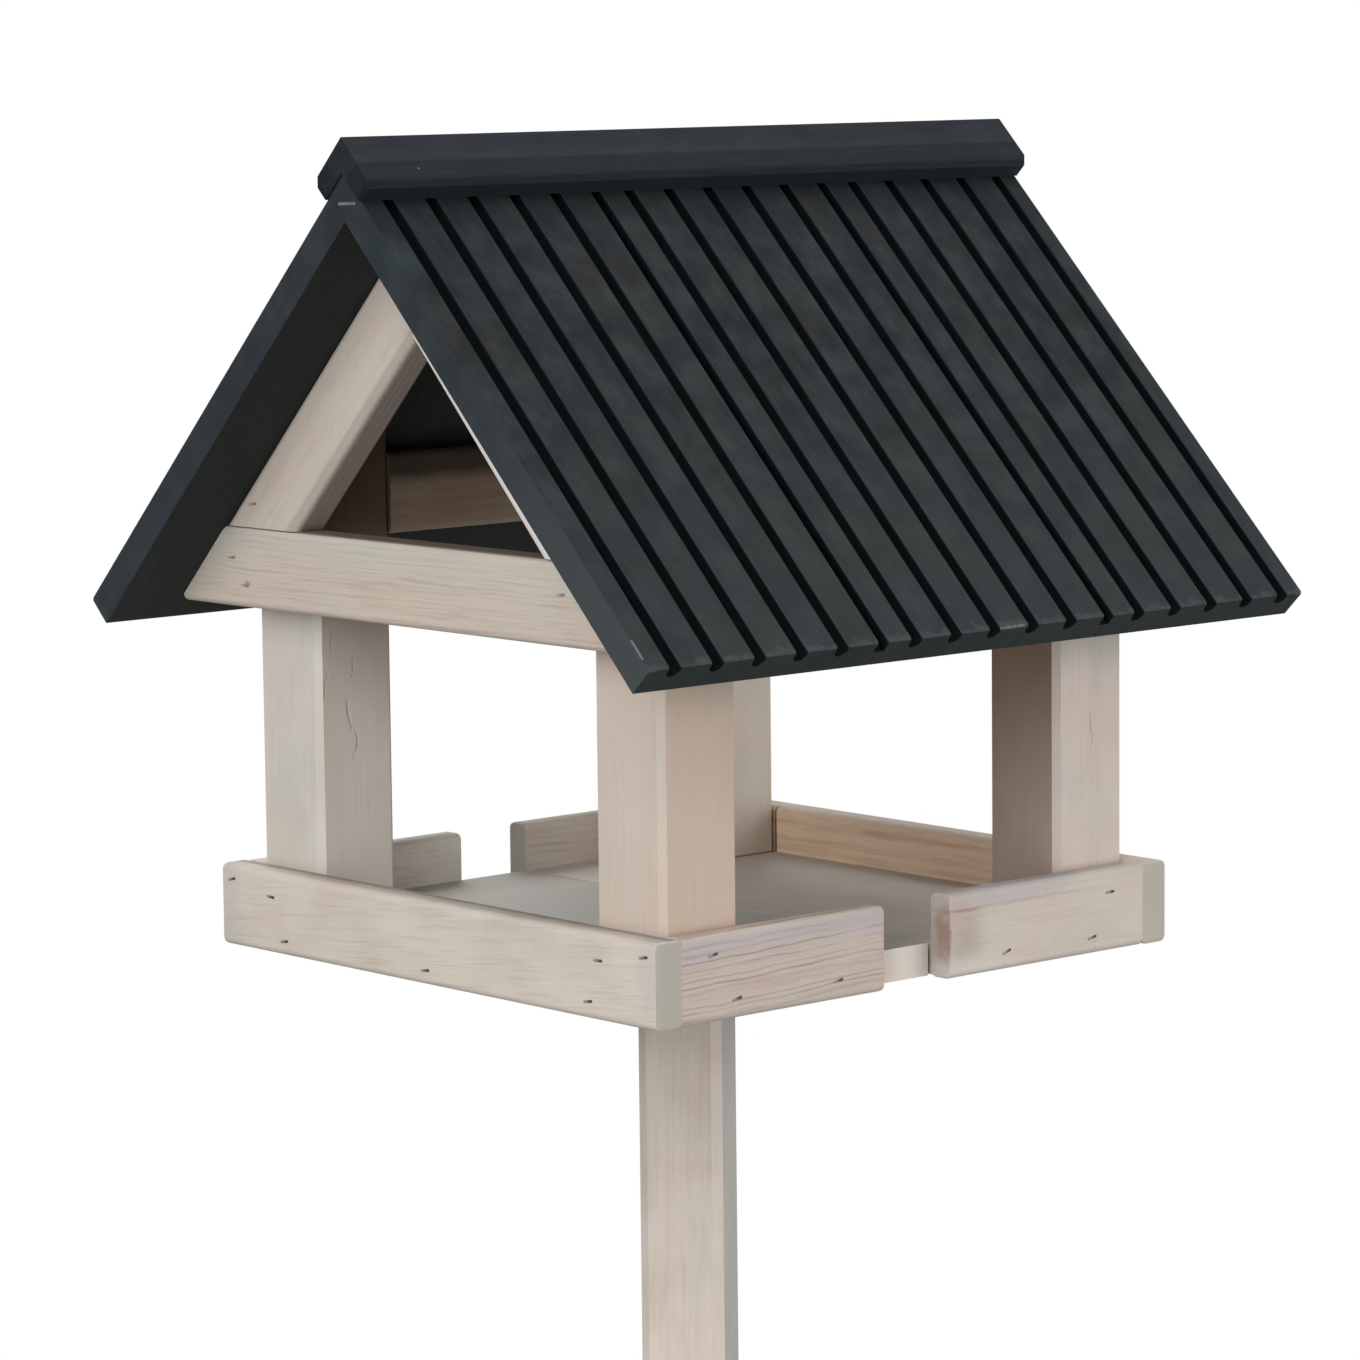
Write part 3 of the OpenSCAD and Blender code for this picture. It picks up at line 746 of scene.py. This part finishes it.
# each staple's distance from the middle, its height over the tray's underside, both in
# millimetres, and the tilt of its crown in degrees
gable_places = ((148, 31, 13), (118, 26, -3), (108, 6, 9), (3, 6, 8), (-110, 7, 9), (-117, 26, 2),
                (-147, 31, 10))
side_places = ((-122, 29, 9), (-108, 8, 10), (-47.5, 8, 8), (58, 7.5, 18), (114, 7, 10), (126, 27, 2))
frame_places = ((138.5, 184.5, 5), (128.5, 172, -4), (-99, 184.5, 6), (121.5, 210.5, 8))
ridge_places = ((-1.5, 352.5, 2),)
row_of_staples("staples_left", dark_wire, rim_left, -X, gable_places)
row_of_staples("staples_right", dark_wire, rim_right, X, gable_places)
row_of_staples("staples_front", dark_wire, rim_front, -Y, side_places)
row_of_staples("staples_back", dark_wire, rim_back, Y, side_places)
row_of_staples("staples_frame_left", glazed_wire, tie_face, -X, frame_places)
row_of_staples("staples_frame_right", glazed_wire, frame_right, X, frame_places)
row_of_staples("staples_ridge_left", bright_wire, roof_left, -X, ridge_places, longer=2.1)
row_of_staples("staples_ridge_right", bright_wire, roof_right, X, ridge_places, longer=2.1)
bpy.data.objects.remove(pattern_staple, do_unlink=True)

# ---- Studio ----
# A white floor that keeps the shadow near the foot and runs out into a white background, and
# four square lamps round the feeder that light it at a plain level.
bounce_grey, floor_pale = (0.25, 0.25, 0.25, 1), (0.86, 0.86, 0.86, 1)
shadow_reach, white_reach = 0.35, 1.7
lamp_distance, lamp_width = 3.0, 2.0
aim = Vector((-0.002, 0.0, 1.0745))
scene = bpy.context.scene
scene.view_settings.view_transform = 'Standard'


def seen(tree):
    """1 where a surface is looked at, also in a gloss or through glass, 0 where it lights others."""
    eye = put(tree, "LightPath", {}).outputs
    plain = calc(tree, "MAXIMUM", eye["Is Camera Ray"], eye["Is Glossy Ray"])
    return calc(tree, "MAXIMUM", plain, eye["Is Transmission Ray"])


bpy.ops.object.select_all(action='DESELECT')
bpy.ops.mesh.primitive_circle_add(vertices=96, radius=9.0, fill_type='NGON', location=(0, 0, 0))
studio_floor = bpy.context.object
studio_floor.name = "studio_floor"
floor_paint, tree = new_material("studio_white")
far = put(tree, "VectorMath", {0: here(tree)}, operation="LENGTH").outputs["Value"]
pale = toward(tree, bounce_grey, floor_pale, seen(tree))
matt = put(tree, "BsdfDiffuse", {"Color": pale})
white = put(tree, "Emission", {"Color": (1, 1, 1, 1), "Strength": 1.0})
share = calc(tree, "MULTIPLY", seen(tree), ramp(tree, far, shadow_reach, white_reach, 0.15, 1.0))
mixed = put(tree, "MixShader", {0: share, 1: matt.outputs[0], 2: white.outputs[0]})
tree.links.new(mixed.outputs[0], put(tree, "OutputMaterial", {}).inputs["Surface"])
studio_floor.data.materials.append(floor_paint)

world = bpy.data.worlds.new("studio")
scene.world = world
world.use_nodes = True
tree = world.node_tree
tree.nodes.clear()
fill = put(tree, "Background", {"Color": (1, 1, 1, 1), "Strength": 0.22})
white = put(tree, "Background", {"Color": (1, 1, 1, 1), "Strength": 1.0})
mixed = put(tree, "MixShader", {0: seen(tree), 1: fill.outputs[0], 2: white.outputs[0]})
tree.links.new(mixed.outputs[0], put(tree, "OutputWorld", {}).inputs["Surface"])


def direction_at(azimuth, elevation):
    """A direction out from the feeder, in degrees: azimuth 0 is straight in front, 90 to the right."""
    turn, rise = math.radians(azimuth), math.radians(elevation)
    return Vector((math.sin(turn) * math.cos(rise), -math.cos(turn) * math.cos(rise), math.sin(rise)))


def soft_box(name, azimuth, elevation, power):
    """A square lamp that faces the feeder from a direction."""
    back = direction_at(azimuth, elevation)
    lamp = bpy.data.objects.new(name, bpy.data.lights.new(name, 'AREA'))
    lamp.data.shape = 'SQUARE'
    lamp.data.size = lamp_width
    lamp.data.energy = power
    lamp.location = aim + back * lamp_distance
    lamp.rotation_euler = (-back).to_track_quat('-Z', 'Y').to_euler()
    scene.collection.objects.link(lamp)


soft_box("key_lamp", -70, 30, 57)
soft_box("left_lamp", -60, -3, 32)
soft_box("low_lamp", 35, 5, 50)
soft_box("rear_lamp", 150, 35, 50)

# ---- Camera ----
# A long lens that looks at the feeder's front left corner from just above the tray, turned
# a hair about its own axis.
view_distance = 2.412
view_roll = math.radians(-0.64)
back = direction_at(-41.5, 7.2)
camera_data = bpy.data.cameras.new("camera")
camera_data.lens = 136.4
camera = bpy.data.objects.new("camera", camera_data)
scene.collection.objects.link(camera)
camera.location = aim + back * view_distance
camera.rotation_mode = 'QUATERNION'
upright = (-back).to_track_quat('-Z', 'Y')
camera.rotation_quaternion = upright @ Matrix.Rotation(view_roll, 3, 'Z').to_quaternion()
scene.camera = camera
